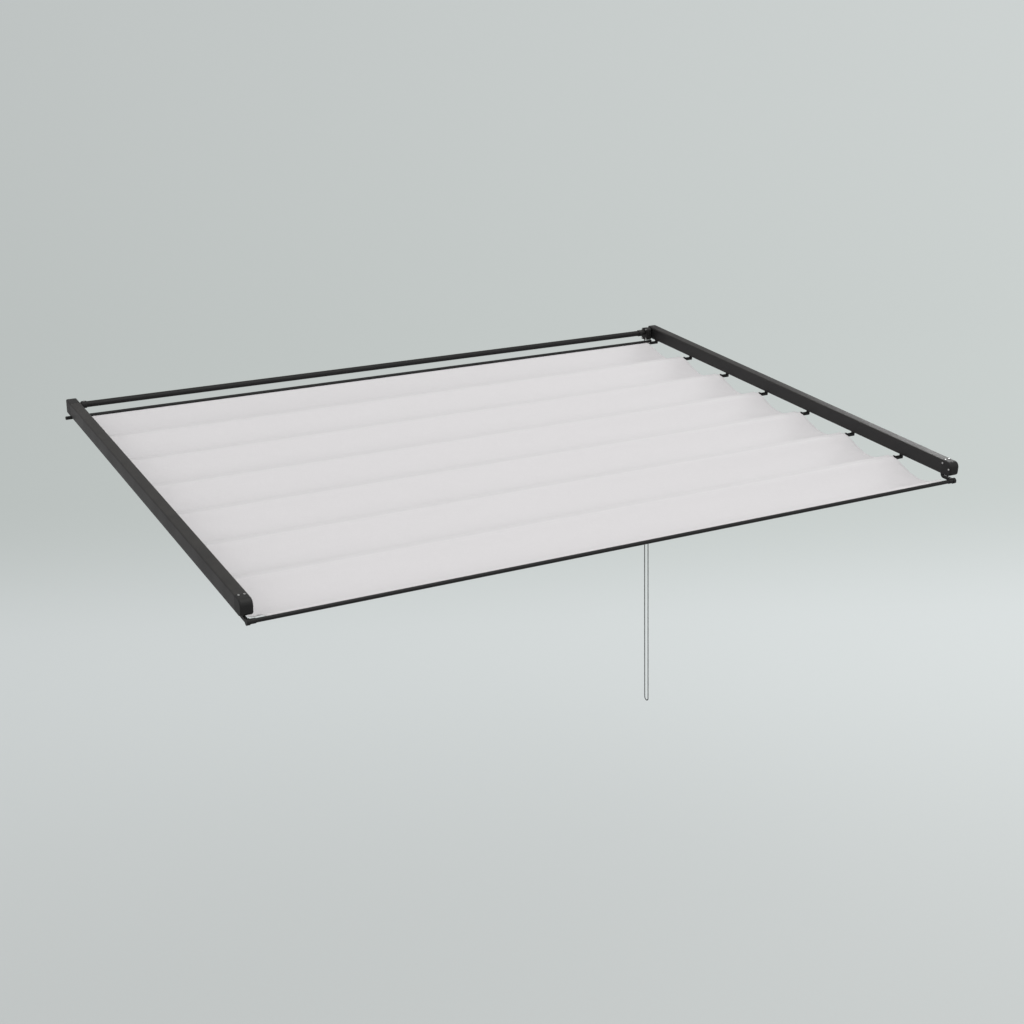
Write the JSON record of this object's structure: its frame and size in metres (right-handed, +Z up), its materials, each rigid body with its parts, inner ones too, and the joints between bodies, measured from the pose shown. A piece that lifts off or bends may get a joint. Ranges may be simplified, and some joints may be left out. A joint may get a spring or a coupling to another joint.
{
  "type": "retractable roof pergola",
  "caption": "Sloping retractable pergola roof: wave fabric on cross bars that hang from gliders in two side rails, drawn by belts off a shaft with a hand chain.",
  "frame": {"origin": "middle between the two rails, level with the rail tops, straight above the drive shaft at the rear", "axes": "+X to the right across the roof, +Y to the rear, +Z up; the roof falls 6.2 degrees towards the front"},
  "size_m": [4.05, 2.9374, 2.7553],
  "materials": {
    "rail": "satin anthracite powder coat",
    "casting": "satin anthracite powder coat",
    "bar": "satin anthracite powder coat",
    "plastic": "fine grain",
    "steel": "nickel plated",
    "belt": "matt",
    "fabric": "plain weave, off white"
  },
  "bodies": {
    "frame": {"rail_left": "rail", "rail_right": "rail", "drive_head_left": "casting", "drive_head_right": "casting", "front_cap_left": "casting", "front_cap_right": "casting", "idler_axle_left": "steel", "idler_axle_right": "steel", "drive_belt_left": "belt", "drive_belt_right": "belt", "shaft_bush_left": "plastic", "shaft_bush_right": "plastic", "rear_hanger_left": "plastic", "rear_hanger_right": "plastic", "rear_bar": "bar", "chain_housing": "casting", "chain_cover": "casting", "hand_chain_top": "steel", "hand_chain_front": "steel", "hand_chain_rear": "steel", "hand_chain_bottom": "steel", "fabric_bay_1": "fabric"},
    "front": {"front_bar": "bar", "lead_carriage_left": "casting", "lead_carriage_right": "casting"},
    "bar_1": {"roof_bar_1": "bar", "bar_hook_left_1": "plastic", "bar_hook_right_1": "plastic", "fabric_bay_2": "fabric"},
    "bar_2": {"roof_bar_2": "bar", "bar_hook_left_2": "plastic", "bar_hook_right_2": "plastic", "fabric_bay_3": "fabric"},
    "bar_3": {"roof_bar_3": "bar", "bar_hook_left_3": "plastic", "bar_hook_right_3": "plastic", "fabric_bay_4": "fabric"},
    "bar_4": {"roof_bar_4": "bar", "bar_hook_left_4": "plastic", "bar_hook_right_4": "plastic", "fabric_bay_5": "fabric"},
    "bar_5": {"roof_bar_5": "bar", "bar_hook_left_5": "plastic", "bar_hook_right_5": "plastic", "fabric_bay_6": "fabric"},
    "bar_6": {"roof_bar_6": "bar", "bar_hook_left_6": "plastic", "bar_hook_right_6": "plastic", "fabric_bay_7": "fabric"},
    "drive_shaft": {"torque_tube": "bar", "tube_coupling_left": "casting", "tube_coupling_right": "casting", "stub_shaft_left": "steel", "stub_shaft_right": "steel", "drive_pulley_left": "plastic", "drive_pulley_right": "plastic", "chain_wheel": "plastic"},
    "idler_left": {"idler_pulley_left": "plastic"},
    "idler_right": {"idler_pulley_right": "plastic"}
  },
  "joints": [
    {"name": "roof_slide", "type": "slide", "parent": "frame", "child": "front", "axis": [0, 0.9942, 0.108], "range_m": [0, 1.89], "deforming": ["fabric_bay_1", "fabric_bay_2", "fabric_bay_3", "fabric_bay_4", "fabric_bay_5", "fabric_bay_6", "fabric_bay_7"]},
    {"name": "bar_1_slide", "type": "slide", "parent": "frame", "child": "bar_1", "axis": [0, 0.9942, 0.108], "range_m": [0, 0.27]},
    {"name": "bar_2_slide", "type": "slide", "parent": "frame", "child": "bar_2", "axis": [0, 0.9942, 0.108], "range_m": [0, 0.54]},
    {"name": "bar_3_slide", "type": "slide", "parent": "frame", "child": "bar_3", "axis": [0, 0.9942, 0.108], "range_m": [0, 0.81]},
    {"name": "bar_4_slide", "type": "slide", "parent": "frame", "child": "bar_4", "axis": [0, 0.9942, 0.108], "range_m": [0, 1.08]},
    {"name": "bar_5_slide", "type": "slide", "parent": "frame", "child": "bar_5", "axis": [0, 0.9942, 0.108], "range_m": [0, 1.35]},
    {"name": "bar_6_slide", "type": "slide", "parent": "frame", "child": "bar_6", "axis": [0, 0.9942, 0.108], "range_m": [0, 1.62]},
    {"name": "drive_shaft_turn", "type": "hinge", "parent": "frame", "child": "drive_shaft", "pos_m": [0, 0.00405, -0.03728], "axis": [1, 0, 0], "range_deg": [0, 6017]},
    {"name": "idler_left_turn", "type": "hinge", "parent": "frame", "child": "idler_left", "pos_m": [-1.97, -2.86704, -0.34918], "axis": [1, 0, 0], "range_deg": [0, 6017]},
    {"name": "idler_right_turn", "type": "hinge", "parent": "frame", "child": "idler_right", "pos_m": [1.97, -2.86704, -0.34918], "axis": [1, 0, 0], "range_deg": [0, 6017]}
  ],
  "couplings": [
    {"joint": "bar_1_slide", "follows": "roof_slide", "ratio": 0.14286},
    {"joint": "bar_2_slide", "follows": "roof_slide", "ratio": 0.28571},
    {"joint": "bar_3_slide", "follows": "roof_slide", "ratio": 0.42857},
    {"joint": "bar_4_slide", "follows": "roof_slide", "ratio": 0.57143},
    {"joint": "bar_5_slide", "follows": "roof_slide", "ratio": 0.71428},
    {"joint": "bar_6_slide", "follows": "roof_slide", "ratio": 0.85714},
    {"joint": "drive_shaft_turn", "follows": "roof_slide", "rad_per_m": 55.556},
    {"joint": "idler_left_turn", "follows": "roof_slide", "rad_per_m": 55.556},
    {"joint": "idler_right_turn", "follows": "roof_slide", "rad_per_m": 55.556}
  ]
}
